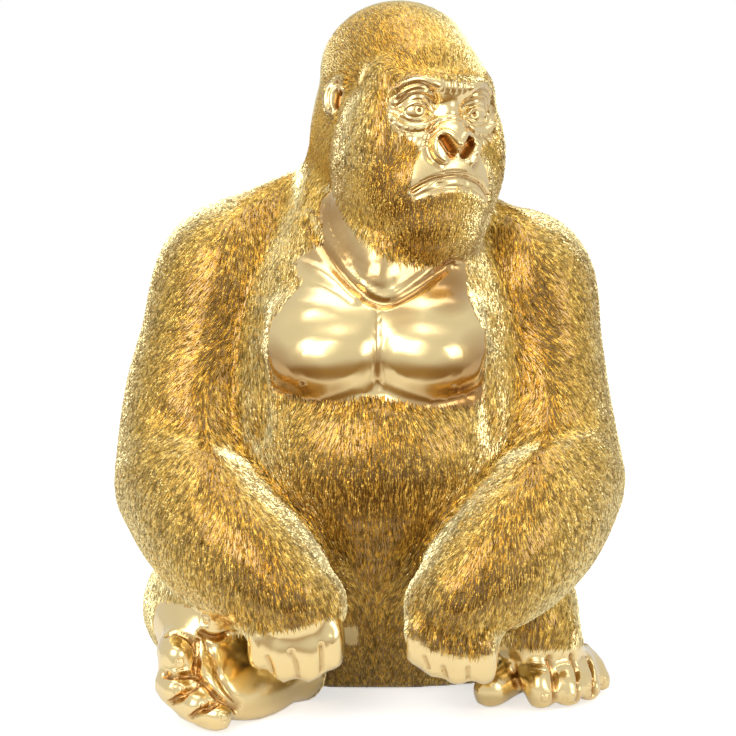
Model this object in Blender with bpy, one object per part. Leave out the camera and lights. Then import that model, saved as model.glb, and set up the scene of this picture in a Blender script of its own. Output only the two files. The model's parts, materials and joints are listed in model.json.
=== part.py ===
"""Seated gorilla figurine, one solid casting.

Metres, +Z up. The gorilla sits facing -Y with its left side at +X, and the middle of its base is at the
origin. The form is laid up as a modeller lays up clay: a turned trunk, a head, and limbs rolled along
their bones are fused and smoothed, then worked with the face, the creases and the folds, thinned to a
light mesh and cut flat underneath. Places are measured from the floor under the spine, before the last
centring.
"""

import math

import bmesh
import bpy
import numpy as np
from mathutils import Euler, Matrix, Vector

# Trunk rings from the floor to the nape: height, half width, front, back
TRUNK = (
    (-0.020, 0.086, 0.010, 0.094),
    (0.000, 0.098, -0.006, 0.106),
    (0.030, 0.107, -0.034, 0.113),
    (0.060, 0.104, -0.055, 0.115),
    (0.100, 0.098, -0.075, 0.114),
    (0.140, 0.096, -0.084, 0.116),
    (0.165, 0.098, -0.078, 0.119),
    (0.185, 0.100, -0.066, 0.121),
    (0.215, 0.098, -0.057, 0.120),
    (0.245, 0.084, -0.050, 0.112),
    (0.268, 0.066, -0.036, 0.100),
    (0.290, 0.048, -0.018, 0.086),
    (0.305, 0.030, 0.004, 0.074),
)
RING_SIDES = 48

# The slab of the breast on one side: x, y, z, radius
BREAST = (
    (0.0080, -0.0490, 0.2050, 0.0225),
    (0.0300, -0.0510, 0.2020, 0.0240),
    (0.0440, -0.0440, 0.2035, 0.0220),
    (0.0450, -0.0360, 0.2180, 0.0200),
    (0.0300, -0.0420, 0.2195, 0.0210),
    (0.0090, -0.0440, 0.2170, 0.0200),
)

# Throat, as the two muscles that meet at the breastbone and the windpipe between them
THROAT = (
    (
        (-0.0190, 0.0340, 0.3080, 0.0210),
        (-0.0290, 0.0130, 0.2810, 0.0180),
        (-0.0170, -0.0140, 0.2590, 0.0170),
        (0.0010, -0.0430, 0.2455, 0.0120),
    ),
    (
        (0.0300, 0.0320, 0.3020, 0.0220),
        (0.0400, 0.0020, 0.2780, 0.0200),
        (0.0250, -0.0190, 0.2600, 0.0190),
        (0.0010, -0.0430, 0.2455, 0.0120),
    ),
    ((0.006, -0.002, 0.276, 0.032), (0.004, -0.022, 0.257, 0.025), (0.001, -0.043, 0.2455, 0.0120)),
)

# Head, in its own frame: its left is +X and its face looks along -Y
HEAD_CENTRE = Vector((0.019, 0.006, 0.326))
HEAD_TURN = math.radians(30)
HEAD_ROLL = math.radians(5)
HEAD_NOD = math.radians(-4)
SKULL_CENTRE = Vector((0, 0.014, -0.010))
SKULL_HALF = Vector((0.0465, 0.060, 0.084))
SKULL_LOWER_HALF = 0.052
CROWN_CENTRE = Vector((0, 0.016, 0.034))
CROWN_HALF = Vector((0.0410, 0.054, 0.0410))
SIDE_FUR_CENTRE = Vector((0.0325, -0.0120, -0.0150))
SIDE_FUR_HALF = Vector((0.0175, 0.0300, 0.0410))
JAW_CENTRE = Vector((0, -0.009, -0.033))
JAW_HALF = Vector((0.0470, 0.047, 0.043))
RUFF_CENTRE = Vector((0.0275, 0.0020, -0.0490))
RUFF_HALF = Vector((0.0180, 0.0310, 0.0215))
BEARD_CENTRE = Vector((0, -0.026, -0.052))
BEARD_HALF = Vector((0.034, 0.029, 0.028))
MUZZLE_CENTRE = Vector((0, -0.036, -0.023))
MUZZLE_HALF = Vector((0.027, 0.0195, 0.0170))
CHEEK_CENTRE = Vector((0.0215, -0.0335, -0.0085))
CHEEK_HALF = Vector((0.0160, 0.0095, 0.0125))
NOSE_SIDE_CENTRE = Vector((0.0110, -0.0400, -0.0050))
NOSE_SIDE_HALF = Vector((0.0095, 0.0095, 0.0110))
FOREHEAD_CENTRE = Vector((0, -0.0225, 0.0300))
FOREHEAD_HALF = Vector((0.0330, 0.0200, 0.0260))
TEMPLE_CENTRE = Vector((0.0250, -0.0185, 0.0200))
TEMPLE_HALF = Vector((0.0175, 0.0180, 0.0220))
EAR_CENTRE = Vector((0.0440, 0.012, 0.013))
EAR_HALF = Vector((0.0050, 0.008, 0.012))
EYE = Vector((0.0188, -0.0362, 0.0087))
EYE_RADIUS = 0.0073
SOCKET = ((0.0140, -0.0430, 0.0085), (0.0230, -0.0400, 0.0090))
SOCKET_RADIUS = 0.0120
SOCKET_DEPTH = 0.0060
BROW = (
    (0.0315, -0.0275, 0.0110, 0.0060),
    (0.0245, -0.0370, 0.0200, 0.0072),
    (0.0110, -0.0425, 0.0235, 0.0074),
)
NOSE = ((0, -0.0385, 0.0140, 0.0084), (0, -0.0425, 0.0020, 0.0090), (0, -0.0500, -0.0085, 0.0086))
NOSTRIL = ((0.0088, -0.0575, -0.0082), (0.0054, -0.0585, -0.0126))
NOSTRIL_RADIUS = 0.0050
NOSTRIL_DEPTH = 0.0055
WING_CENTRE = Vector((0.0092, -0.0500, -0.0112))
WING_HALF = Vector((0.0072, 0.0080, 0.0092))
UPPER_LIP = (
    (0.0250, -0.0458, -0.0330, 0.0034),
    (0.0120, -0.0512, -0.0280, 0.0036),
    (0, -0.0528, -0.0257, 0.0036),
)
LOWER_LIP = (
    (0.0240, -0.0450, -0.0390, 0.0040),
    (0.0120, -0.0500, -0.0352, 0.0045),
    (0, -0.0515, -0.0332, 0.0045),
)
MOUTH_CORNER = Vector((0.0249, -0.0490, -0.0362))
MOUTH_SIDE = Vector((0.0125, -0.0545, -0.0318))
MOUTH_MIDDLE = Vector((0, -0.0560, -0.0295))
MOUTH_REACH = 0.0034
MOUTH_DEPTH = 0.0032
BESIDE_NOSE = ((0.0110, -0.0480, 0.0010), (0.0175, -0.0520, -0.0080), (0.0175, -0.0520, -0.0180))
BESIDE_NOSE_REACH = 0.0040
BESIDE_NOSE_DEPTH = 0.0022
EAR_HOLLOW = ((0.0490, 0.0090, 0.0160), (0.0490, 0.0090, 0.0100))
EAR_HOLLOW_REACH = 0.0045
EAR_HOLLOW_DEPTH = 0.0030

# Upper arms from shoulder to elbow, and forearms from elbow to wrist: x, y, z, radius
RIGHT_ARM = (
    (-0.0900, 0.0160, 0.2430, 0.0370),
    (-0.0990, 0.0080, 0.2050, 0.0375),
    (-0.1060, -0.0020, 0.1700, 0.0400),
    (-0.1085, -0.0180, 0.1300, 0.0420),
)
LEFT_ARM = (
    (0.0900, 0.0160, 0.2400, 0.0360),
    (0.0960, 0.0080, 0.2050, 0.0350),
    (0.0985, -0.0020, 0.1710, 0.0370),
    (0.1015, -0.0180, 0.1320, 0.0410),
)
RIGHT_FOREARM = (
    (-0.1085, -0.0250, 0.1260, 0.0415),
    (-0.0920, -0.0500, 0.1060, 0.0415),
    (-0.0700, -0.0700, 0.0890, 0.0370),
    (-0.0480, -0.0860, 0.0740, 0.0270),
)
LEFT_FOREARM = (
    (0.1020, -0.0250, 0.1280, 0.0408),
    (0.0880, -0.0480, 0.1080, 0.0420),
    (0.0690, -0.0680, 0.0900, 0.0380),
    (0.0470, -0.0850, 0.0740, 0.0270),
)
RIGHT_YOKE = (-0.062, 0.036, 0.255, 0.037)
LEFT_YOKE = (0.064, 0.034, 0.248, 0.036)

# Neck from between the shoulders into the skull: x, y, z, radius
NECK = (
    (0.0000, 0.0520, 0.2720, 0.0440),
    (-0.0010, 0.0420, 0.3000, 0.0405),
    (0.0025, 0.0380, 0.3220, 0.0345),
    (0.0060, 0.0340, 0.3400, 0.0340),
)

# Hands: the fist, then the digits by the x, z and radius of each tip
RIGHT_WRIST = Vector((-0.0450, -0.0880, 0.0690))
LEFT_WRIST = Vector((0.0440, -0.0860, 0.0680))
WRIST_HALF = Vector((0.0290, 0.0210, 0.0260))
RIGHT_FIST = Vector((-0.0445, -0.0890, 0.0490))
LEFT_FIST = Vector((0.0420, -0.0870, 0.0470))
FIST_HALF = Vector((0.0280, 0.0180, 0.0190))
RIGHT_DIGITS = (
    (-0.0650, 0.0400, 0.0070),
    (-0.0510, 0.0345, 0.0082),
    (-0.0368, 0.0340, 0.0078),
    (-0.0240, 0.0400, 0.0070),
)
LEFT_DIGITS = (
    (0.0595, 0.0330, 0.0082),
    (0.0450, 0.0325, 0.0080),
    (0.0322, 0.0360, 0.0072),
    (0.0215, 0.0420, 0.0062),
)
DIGIT_FRONT = -0.0995
DIGIT_TIP_BACK = 0.0030
PALM_RISE = 0.0040
KNUCKLE_RISE = 0.0150
DIGIT_STEPS = 6

# Legs from hip to shin: x, y, z, radius
RIGHT_LEG = (
    (-0.0500, 0.0400, 0.0520, 0.0500),
    (-0.0960, -0.0100, 0.0540, 0.0370),
    (-0.1000, -0.0420, 0.0500, 0.0290),
    (-0.0980, -0.0610, 0.0460, 0.0210),
)
LEFT_LEG = (
    (0.0500, 0.0400, 0.0520, 0.0500),
    (0.0800, -0.0100, 0.0560, 0.0350),
    (0.0920, -0.0260, 0.0400, 0.0260),
    (0.0990, -0.0280, 0.0300, 0.0210),
)

# The right foot lies on its outer edge with its sole towards the front
SOLE_CENTRE = Vector((-0.0690, -0.0610, 0.0215))
SOLE_HALF = Vector((0.0500, 0.0250, 0.0150))
SOLE_ALONG = Vector((-0.54, -0.84, 0.0))
SOLE_FACING = Vector((0.72, -0.46, 0.52))
RIGHT_HEEL = (-0.0460, -0.0310, 0.0160, 0.0175)
INSTEP_BACK = 0.0040
INSTEP_RADIUS = 0.0170
RIGHT_TOES = (
    ((-0.102, -0.068, 0.044, 0.0095), (-0.112, -0.076, 0.042, 0.0112), (-0.111, -0.085, 0.038, 0.0112)),
    ((-0.102, -0.078, 0.028, 0.0100), (-0.113, -0.086, 0.025, 0.0110), (-0.111, -0.094, 0.022, 0.0105)),
    ((-0.096, -0.084, 0.018, 0.0095), (-0.104, -0.093, 0.015, 0.0100), (-0.099, -0.101, 0.014, 0.0098)),
    ((-0.086, -0.085, 0.011, 0.0090), (-0.093, -0.097, 0.009, 0.0090), (-0.087, -0.103, 0.009, 0.0088)),
    ((-0.086, -0.052, 0.044, 0.0110), (-0.092, -0.064, 0.052, 0.0092), (-0.093, -0.073, 0.055, 0.0074)),
)

# The left foot stands on its sole
LEFT_FOOT = ((0.070, 0.012, 0.016, 0.018), (0.088, -0.012, 0.022, 0.022), (0.104, -0.024, 0.020, 0.019))
LEFT_TOES = (
    ((0.0900, -0.030, 0.0250, 0.0092), (0.0920, -0.0450, 0.0215, 0.0098), (0.0935, -0.0555, 0.0096, 0.0096)),
    ((0.1040, -0.020, 0.0250, 0.0086), (0.1075, -0.0360, 0.0215, 0.0090), (0.1095, -0.0500, 0.0090, 0.0090)),
    ((0.1150, -0.009, 0.0230, 0.0080), (0.1195, -0.0240, 0.0190, 0.0082), (0.1220, -0.0380, 0.0082, 0.0082)),
    ((0.1220, 0.0030, 0.0190, 0.0070), (0.1270, -0.0080, 0.0150, 0.0072), (0.1305, -0.0170, 0.0074, 0.0074)),
    ((0.0840, -0.028, 0.0150, 0.0110), (0.0730, -0.0420, 0.0125, 0.0105), (0.0650, -0.0505, 0.0108, 0.0112)),
)

# Folds worked into the skin in the middle: path, reach and rise
BREASTBONE_FOLD = (((0.001, -0.064, 0.242), (0.001, -0.070, 0.210), (0.001, -0.068, 0.184)), 0.0080, -0.0026)
SPINE_FOLD = (((0, 0.116, 0.090), (0, 0.118, 0.170), (0, 0.110, 0.240)), 0.0280, -0.0060)
SEAT_FOLD = (((0, 0.106, 0.004), (0, 0.114, 0.040)), 0.0180, -0.0035)

# The same on the left side, and mirrored on the right
SHOULDER_BLADE = (((0.046, 0.108, 0.228), (0.050, 0.110, 0.200)), 0.0400, 0.0050)
UNDER_BREAST = (
    (0.002, -0.070, 0.1835),
    (0.016, -0.072, 0.1795),
    (0.034, -0.070, 0.1775),
    (0.056, -0.058, 0.1820),
)
UNDER_BREAST_FOLD = (UNDER_BREAST, 0.0080, -0.0040)
ARMPIT_FOLD = (((0.064, -0.040, 0.222), (0.065, -0.052, 0.190), (0.067, -0.058, 0.160)), 0.0100, -0.0045)
ELBOW_FOLD = (((0.122, -0.044, 0.166), (0.098, -0.054, 0.160), (0.074, -0.052, 0.150)), 0.0100, -0.0030)

# Skin
TRUNK_VOXEL = 0.0030
TRUNK_ROUNDS = 7
HEAD_VOXEL = 0.0015
HEAD_ROUNDS = 8
VOXEL = 0.0016
ROUNDS = 3
SMALL_RADIUS = 0.013

# Places that stay finely carved: centre and reach
FINE_ZONES = (
    ((0.0400, -0.0360, 0.3200), 0.0480),
    ((-0.0440, -0.1000, 0.0450), 0.0340),
    ((0.0430, -0.1000, 0.0430), 0.0340),
    ((-0.1010, -0.0840, 0.0280), 0.0380),
    ((0.1000, -0.0400, 0.0150), 0.0400),
    ((0.0680, -0.0500, 0.0100), 0.0200),
)
COARSE_WEIGHT = 0.0
FINE_WEIGHT = 0.5
FINE_FACTOR = 0.003
TRIANGLES = 11800


def ball(form, centre, half, turn=None):
    """Adds an ellipsoid of these half sizes."""
    place = Matrix.Translation(centre) @ (turn or Matrix.Identity(4)) @ Matrix.Diagonal((*half, 1))
    return bmesh.ops.create_icosphere(form, subdivisions=4, radius=1, matrix=place)["verts"]


def smooth_path(points, steps):
    """Reads a Catmull-Rom curve through the points, which may carry a radius."""
    spots = [points[0], *points, points[-1]]
    path = []
    for before, start, end, after in zip(spots, spots[1:], spots[2:], spots[3:]):
        for i in range(steps):
            t = i / steps
            spot = []
            for p, q, r, s in zip(before, start, end, after):
                bend = (2 * p - 5 * q + 4 * r - s) * t**2 + (3 * q - p - 3 * r + s) * t**3
                spot.append(0.5 * (2 * q + (r - p) * t + bend))
            path.append(tuple(spot))
    path.append(tuple(points[-1]))
    return path


def limb(form, stations, steps=8):
    """Adds a row of balls along a smooth path; a station is x, y, z and radius."""
    row = bmesh.new()
    for x, y, z, radius in smooth_path([tuple(s) for s in stations], steps):
        fineness = 3 if radius > SMALL_RADIUS else 2
        place = Matrix.Translation((x, y, z))
        bmesh.ops.create_icosphere(row, subdivisions=fineness, radius=radius, matrix=place)
    mesh = bpy.data.meshes.new("row")
    row.to_mesh(mesh)
    row.free()
    form.from_mesh(mesh)
    bpy.data.meshes.remove(mesh)


def mirrored(point, side):
    """The point, or its twin on the right where the side is -1; a station keeps its radius."""
    return Vector((side * point[0], *point[1:]))


def fuse(form, voxel, rounds):
    """One closed skin round all the masses, smoothed."""
    mesh = bpy.data.meshes.new("masses")
    form.to_mesh(mesh)
    form.free()
    obj = bpy.data.objects.new("masses", mesh)
    bpy.context.collection.objects.link(obj)
    remesh = obj.modifiers.new("fuse", "REMESH")
    remesh.mode = "VOXEL"
    remesh.voxel_size = voxel
    smooth = obj.modifiers.new("smooth", "SMOOTH")
    smooth.factor = 0.5
    smooth.iterations = rounds
    return applied(obj)


def applied(obj):
    """The mesh that an object's modifiers give."""
    bpy.context.view_layer.update()
    graph = bpy.context.evaluated_depsgraph_get()
    result = bpy.data.meshes.new_from_object(obj.evaluated_get(graph))
    source = obj.data
    bpy.data.objects.remove(obj)
    bpy.data.meshes.remove(source)
    return result


def barrel(form, rings):
    """Adds a closed trunk through flat rings of height, half width, front and back."""
    loops = []
    for height, half_width, front, back in rings:
        size = Matrix.Diagonal((half_width, (back - front) / 2, 1, 1))
        place = Matrix.Translation((0, (front + back) / 2, height)) @ size
        made = bmesh.ops.create_circle(form, segments=RING_SIDES, radius=1, matrix=place)
        loops.append(made["verts"])
    for lower, upper in zip(loops, loops[1:]):
        for i in range(RING_SIDES):
            j = (i + 1) % RING_SIDES
            form.faces.new((lower[i], lower[j], upper[j], upper[i]))
    form.faces.new(loops[0][::-1])
    form.faces.new(loops[-1])


def trunk():
    form = bmesh.new()
    barrel(form, smooth_path(TRUNK, 3))
    limb(form, NECK)
    for side, yoke, arm in ((-1, RIGHT_YOKE, RIGHT_ARM), (1, LEFT_YOKE, LEFT_ARM)):
        limb(form, [mirrored(station, side) for station in BREAST])
        limb(form, [NECK[0], yoke, *arm])
    return fuse(form, TRUNK_VOXEL, TRUNK_ROUNDS)


def head_frame():
    turn = Euler((0, 0, HEAD_TURN)).to_matrix() @ Euler((HEAD_NOD, HEAD_ROLL, 0)).to_matrix()
    return Matrix.Translation(HEAD_CENTRE) @ turn.to_4x4()


def head():
    """The head in its own frame, then set on the neck."""
    form = bmesh.new()
    for vert in ball(form, SKULL_CENTRE, SKULL_HALF):
        if vert.co.z < SKULL_CENTRE.z:
            vert.co.z = SKULL_CENTRE.z + (vert.co.z - SKULL_CENTRE.z) * SKULL_LOWER_HALF / SKULL_HALF.z
    ball(form, CROWN_CENTRE, CROWN_HALF)
    ball(form, JAW_CENTRE, JAW_HALF)
    ball(form, BEARD_CENTRE, BEARD_HALF)
    ball(form, MUZZLE_CENTRE, MUZZLE_HALF)
    for side in (-1, 1):
        ball(form, mirrored(SIDE_FUR_CENTRE, side), SIDE_FUR_HALF)
        ball(form, mirrored(RUFF_CENTRE, side), RUFF_HALF)
        ball(form, mirrored(CHEEK_CENTRE, side), CHEEK_HALF)
        ball(form, mirrored(NOSE_SIDE_CENTRE, side), NOSE_SIDE_HALF)
        ball(form, mirrored(TEMPLE_CENTRE, side), TEMPLE_HALF)
        ball(form, mirrored(EAR_CENTRE, side), EAR_HALF)
        ball(form, mirrored(WING_CENTRE, side), WING_HALF)
    for half in (BROW, UPPER_LIP, LOWER_LIP):
        limb(form, [(-x, *rest) for x, *rest in half] + list(half[::-1]))
    ball(form, FOREHEAD_CENTRE, FOREHEAD_HALF)
    limb(form, NOSE)
    mesh = fuse(form, HEAD_VOXEL, HEAD_ROUNDS)
    for side in (-1, 1):
        work(mesh, [mirrored(p, side) for p in SOCKET], SOCKET_RADIUS, -SOCKET_DEPTH, (0, -1, 0))
    mesh.transform(head_frame())
    return mesh


def hand(form, wrist, fist, digits):
    ball(form, wrist, WRIST_HALF)
    ball(form, fist, FIST_HALF)
    for x, z, radius in digits:
        knuckle = z + KNUCKLE_RISE
        tip = (x, DIGIT_FRONT + DIGIT_TIP_BACK, z, radius)
        limb(form, [(x, fist.y, knuckle, radius), (x, DIGIT_FRONT, knuckle, radius), tip], DIGIT_STEPS)
        limb(form, [tip, (x, fist.y, z + PALM_RISE, radius)], DIGIT_STEPS)


def right_foot(form):
    along = SOLE_ALONG.normalized()
    facing = (SOLE_FACING - along * SOLE_FACING.dot(along)).normalized()
    turn = Matrix((along, facing.cross(along), facing)).transposed().to_4x4()
    ball(form, SOLE_CENTRE, SOLE_HALF, turn)
    limb(form, [RIGHT_HEEL, (*(SOLE_CENTRE - facing * INSTEP_BACK), INSTEP_RADIUS)])
    for toe in RIGHT_TOES:
        limb(form, toe)


def left_foot(form):
    limb(form, LEFT_FOOT)
    for toe in LEFT_TOES:
        limb(form, toe)


def coordinates(mesh):
    co = np.empty(len(mesh.vertices) * 3)
    mesh.vertices.foreach_get("co", co)
    return co.reshape(-1, 3)


def distance(spots, path):
    """How far each spot is from a path."""
    nearest = np.full(len(spots), np.inf)
    for start, end in zip(path, path[1:]):
        start, span = np.array(start), np.array(end) - np.array(start)
        t = np.clip((spots - start) @ span / max(span @ span, 1e-12), 0, 1)
        nearest = np.minimum(nearest, np.linalg.norm(spots - start - t[:, None] * span, axis=1))
    return nearest


def work(mesh, path, radius, lift, way=None):
    """Raises the skin along a path, or presses it in, fading out at the radius."""
    if len(path) == 1:
        path = [path[0], path[0]]
    elif len(path) > 2:
        path = smooth_path([tuple(p) for p in path], 4)
    co = coordinates(mesh)
    fade = np.clip(1 - (distance(co, path) / radius) ** 2, 0, 1) ** 2
    if way is None:
        way = np.empty(len(co) * 3)
        mesh.vertex_normals.foreach_get("vector", way)
        way = way.reshape(-1, 3)
    co += np.asarray(way) * (lift * fade)[:, None]
    mesh.vertices.foreach_set("co", co.ravel())
    mesh.update()


def face(mesh):
    """Nostrils, the folds beside the nose, the ears and the mouth."""
    frame = head_frame()
    forward = -frame.col[1].xyz

    def along(*points):
        return [frame @ Vector(p) for p in points]

    for side in (-1, 1):
        work(mesh, along(*(mirrored(p, side) for p in BESIDE_NOSE)), BESIDE_NOSE_REACH, -BESIDE_NOSE_DEPTH)
        work(mesh, along(*(mirrored(p, side) for p in NOSTRIL)), NOSTRIL_RADIUS, -NOSTRIL_DEPTH, forward)
        work(mesh, along(*(mirrored(p, side) for p in EAR_HOLLOW)), EAR_HOLLOW_REACH, -EAR_HOLLOW_DEPTH)
    right_half = [mirrored(MOUTH_CORNER, -1), mirrored(MOUTH_SIDE, -1)]
    work(mesh, along(*right_half, MOUTH_MIDDLE, MOUTH_SIDE, MOUTH_CORNER), MOUTH_REACH, -MOUTH_DEPTH)


def body_folds(mesh):
    """The furrows of the breast, armpits, elbows, back and seat."""
    for path, reach, rise in (BREASTBONE_FOLD, SPINE_FOLD, SEAT_FOLD):
        work(mesh, path, reach, rise)
    for path, reach, rise in (SHOULDER_BLADE, UNDER_BREAST_FOLD, ARMPIT_FOLD, ELBOW_FOLD):
        for side in (-1, 1):
            work(mesh, [mirrored(p, side) for p in path], reach, rise)


def flat_base(mesh):
    """Cuts the skin at the floor and closes it with a flat face."""
    form = bmesh.new()
    form.from_mesh(mesh)
    geometry = form.verts[:] + form.edges[:] + form.faces[:]
    bmesh.ops.bisect_plane(form, geom=geometry, plane_co=(0, 0, 0), plane_no=(0, 0, -1), clear_outer=True)
    bmesh.ops.holes_fill(form, edges=[e for e in form.edges if e.is_boundary], sides=0)
    bmesh.ops.triangulate(form, faces=form.faces[:])
    form.to_mesh(mesh)
    form.free()


def carved(mesh):
    """The vertices of the face, the hands and the feet, whose small forms stay fine."""
    spots = coordinates(mesh)
    near = np.zeros(len(spots), bool)
    for centre, reach in FINE_ZONES:
        near |= np.linalg.norm(spots - np.array(centre), axis=1) < reach
    return [int(i) for i in np.flatnonzero(near)]


def thinned(mesh):
    """The same form in about this many triangles, most of them where it is finely carved."""
    obj = bpy.data.objects.new("thinning", mesh)
    bpy.context.collection.objects.link(obj)
    mesh.calc_loop_triangles()
    fine = obj.vertex_groups.new(name="fine")
    fine.add(list(range(len(mesh.vertices))), COARSE_WEIGHT, "REPLACE")
    fine.add(carved(mesh), FINE_WEIGHT, "REPLACE")
    decimate = obj.modifiers.new("thin", "DECIMATE")
    decimate.ratio = TRIANGLES / len(mesh.loop_triangles)
    decimate.use_collapse_triangulate = True
    decimate.vertex_group = "fine"
    decimate.invert_vertex_group = True
    decimate.vertex_group_factor = FINE_FACTOR
    return applied(obj)


def gold():
    material = bpy.data.materials.new("gold_finish")
    material.use_nodes = True
    shader = material.node_tree.nodes["Principled BSDF"]
    shader.inputs["Base Color"].default_value = (0.62, 0.42, 0.13, 1)
    shader.inputs["Metallic"].default_value = 1.0
    shader.inputs["Roughness"].default_value = 0.34
    return material


def figure():
    """The whole sculpted skin, before it is thinned and cut flat."""
    form = bmesh.new()
    form.from_mesh(trunk())
    form.from_mesh(head())
    for side in (-1, 1):
        ball(form, head_frame() @ mirrored(EYE, side), Vector((EYE_RADIUS, EYE_RADIUS, EYE_RADIUS)))
    for muscle in THROAT:
        limb(form, muscle)
    limb(form, RIGHT_FOREARM)
    limb(form, LEFT_FOREARM)
    hand(form, RIGHT_WRIST, RIGHT_FIST, RIGHT_DIGITS)
    hand(form, LEFT_WRIST, LEFT_FIST, LEFT_DIGITS)
    limb(form, RIGHT_LEG)
    limb(form, LEFT_LEG)
    right_foot(form)
    left_foot(form)
    mesh = fuse(form, VOXEL, ROUNDS)
    face(mesh)
    body_folds(mesh)
    return mesh


def main():
    for obj in list(bpy.data.objects):
        bpy.data.objects.remove(obj)
    mesh = thinned(figure())
    flat_base(mesh)
    spots = coordinates(mesh)
    middle = (spots.min(0) + spots.max(0)) / 2
    mesh.transform(Matrix.Translation((-middle[0], -middle[1], 0)))
    obj = bpy.data.objects.new("gorilla", mesh)
    obj["middle_before_centring"] = [float(middle[0]), float(middle[1]), 0.0]
    bpy.context.collection.objects.link(obj)
    mesh.shade_smooth()
    mesh.materials.clear()
    mesh.materials.append(gold())


main()
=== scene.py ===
import json
import math

import bmesh
import bpy
import numpy as np
from mathutils import Euler, Matrix, Vector
from mathutils.bvhtree import BVHTree

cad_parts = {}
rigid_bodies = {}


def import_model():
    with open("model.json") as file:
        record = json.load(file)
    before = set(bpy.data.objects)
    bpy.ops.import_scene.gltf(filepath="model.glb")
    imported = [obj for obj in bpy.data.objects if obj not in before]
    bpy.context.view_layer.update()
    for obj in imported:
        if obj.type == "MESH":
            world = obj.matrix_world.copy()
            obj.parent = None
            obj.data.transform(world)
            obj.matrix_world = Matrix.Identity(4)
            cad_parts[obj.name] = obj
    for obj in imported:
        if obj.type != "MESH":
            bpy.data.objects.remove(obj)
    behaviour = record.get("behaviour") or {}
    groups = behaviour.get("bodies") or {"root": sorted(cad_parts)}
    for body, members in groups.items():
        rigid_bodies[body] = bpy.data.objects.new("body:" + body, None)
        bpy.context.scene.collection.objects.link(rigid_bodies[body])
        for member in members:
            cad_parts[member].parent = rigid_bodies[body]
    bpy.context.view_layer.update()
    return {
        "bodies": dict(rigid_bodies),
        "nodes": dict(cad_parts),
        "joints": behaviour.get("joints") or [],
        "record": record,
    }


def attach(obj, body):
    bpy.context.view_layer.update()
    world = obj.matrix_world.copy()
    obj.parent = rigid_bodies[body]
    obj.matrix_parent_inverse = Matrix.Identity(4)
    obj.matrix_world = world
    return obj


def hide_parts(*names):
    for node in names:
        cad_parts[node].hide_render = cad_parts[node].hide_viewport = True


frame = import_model()

# Camera. It looks slightly down on the seated figure from straight in front, with a long lens,
# as one photographs a piece of sculpture on a table.
SPINE = Vector((0.0036, -0.0034, 0.0))
CAMERA_AWAY = 1.600
CAMERA_HEIGHT = 0.415
CAMERA_ASIDE = -0.0046
AIM_HEIGHT = 0.189
LENS = 136.5

camera_data = bpy.data.cameras.new("camera")
camera_data.lens = LENS
camera_data.sensor_width = 36
camera_data.clip_end = 60
camera = bpy.data.objects.new("camera", camera_data)
camera.location = SPINE + Vector((CAMERA_ASIDE, -CAMERA_AWAY, CAMERA_HEIGHT))
camera.rotation_euler = (math.pi / 2 - math.atan2(CAMERA_HEIGHT - AIM_HEIGHT, CAMERA_AWAY), 0, 0)
bpy.context.collection.objects.link(camera)
bpy.context.scene.camera = camera
bpy.context.scene.view_settings.view_transform = "Standard"

# Studio. A pale sheet that starts just in front of the figure and fades into a white surround, a large
# soft lamp from the upper left and weaker ones from the right and above. The surround is dark low in
# front, as a room is below the edge of a table, which gives polished gold its deep lower planes.
SHEET_FRONT = -0.22
SHEET_SIZE = 12.0
SHEET_WHITE = 0.80
SHEET_GLOW = 0.62
SHEET_MIRRORED = 0.25
SURROUND_GLOSSY = (0.72, 0.72, 0.72, 1)
SURROUND_LOW = (0.30, 0.175, 0.055, 1)
SURROUND_LIGHT = (0.50, 0.50, 0.50, 1)
WHITE = (1.0, 1.0, 1.0, 1)
# Slopes between which the surround goes from dark to pale: upward, and backward
SURROUND_RISE = (-0.42, -0.06)
SURROUND_BEHIND = (0.05, 0.50)
# Each lamp's place, the side of its square and its power in watts
LAMPS = (
    ("key_lamp", (-0.64, -1.36, 1.15), 1.15, 17),
    ("fill_lamp", (1.35, -1.15, 0.75), 0.80, 6),
    ("top_lamp", (0.10, 0.10, 1.60), 1.10, 8),
)
LAMP_AIM = Vector((0, 0, 0.22))


def shader_tree(owner):
    """Empties a material's or the world's node tree, and returns it with a maker of nodes."""
    owner.use_nodes = True
    tree = owner.node_tree
    tree.nodes.clear()

    def add(kind, **values):
        node = tree.nodes.new(kind)
        for name, value in values.items():
            setattr(node, name, value)
        return node

    return tree, add


def seen_or_mirrored(tree, add):
    """Whether a ray comes from the camera, and whether it comes from a mirror-like or clear surface."""
    rays = add("ShaderNodeLightPath")
    glossy = add("ShaderNodeMath", operation="MAXIMUM")
    tree.links.new(rays.outputs["Is Glossy Ray"], glossy.inputs[0])
    tree.links.new(rays.outputs["Is Transmission Ray"], glossy.inputs[1])
    return rays.outputs["Is Camera Ray"], glossy.outputs[0]


def arithmetic(tree, add, operation, *values):
    """The result of a sum on sockets and plain numbers."""
    node = add("ShaderNodeMath", operation=operation)
    for socket, value in zip(node.inputs, values):
        if isinstance(value, (int, float)):
            socket.default_value = value
        else:
            tree.links.new(value, socket)
    return node.outputs[0]


def blended(tree, add, share, start, end):
    """A colour that goes from start to end as the share goes from 0 to 1."""
    node = add("ShaderNodeMix", data_type="RGBA")
    tree.links.new(share, node.inputs[0])
    for socket, value in ((node.inputs[6], start), (node.inputs[7], end)):
        if isinstance(value, tuple):
            socket.default_value = value
        else:
            tree.links.new(value, socket)
    return node.outputs[2]


def smooth_step(tree, add, value, start, end):
    """From 0 to 1 as the value goes from start to end, easing at both."""
    node = add("ShaderNodeMapRange", interpolation_type="SMOOTHSTEP")
    node.inputs["From Min"].default_value = start
    node.inputs["From Max"].default_value = end
    tree.links.new(value, node.inputs["Value"])
    return node.outputs[0]


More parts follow.
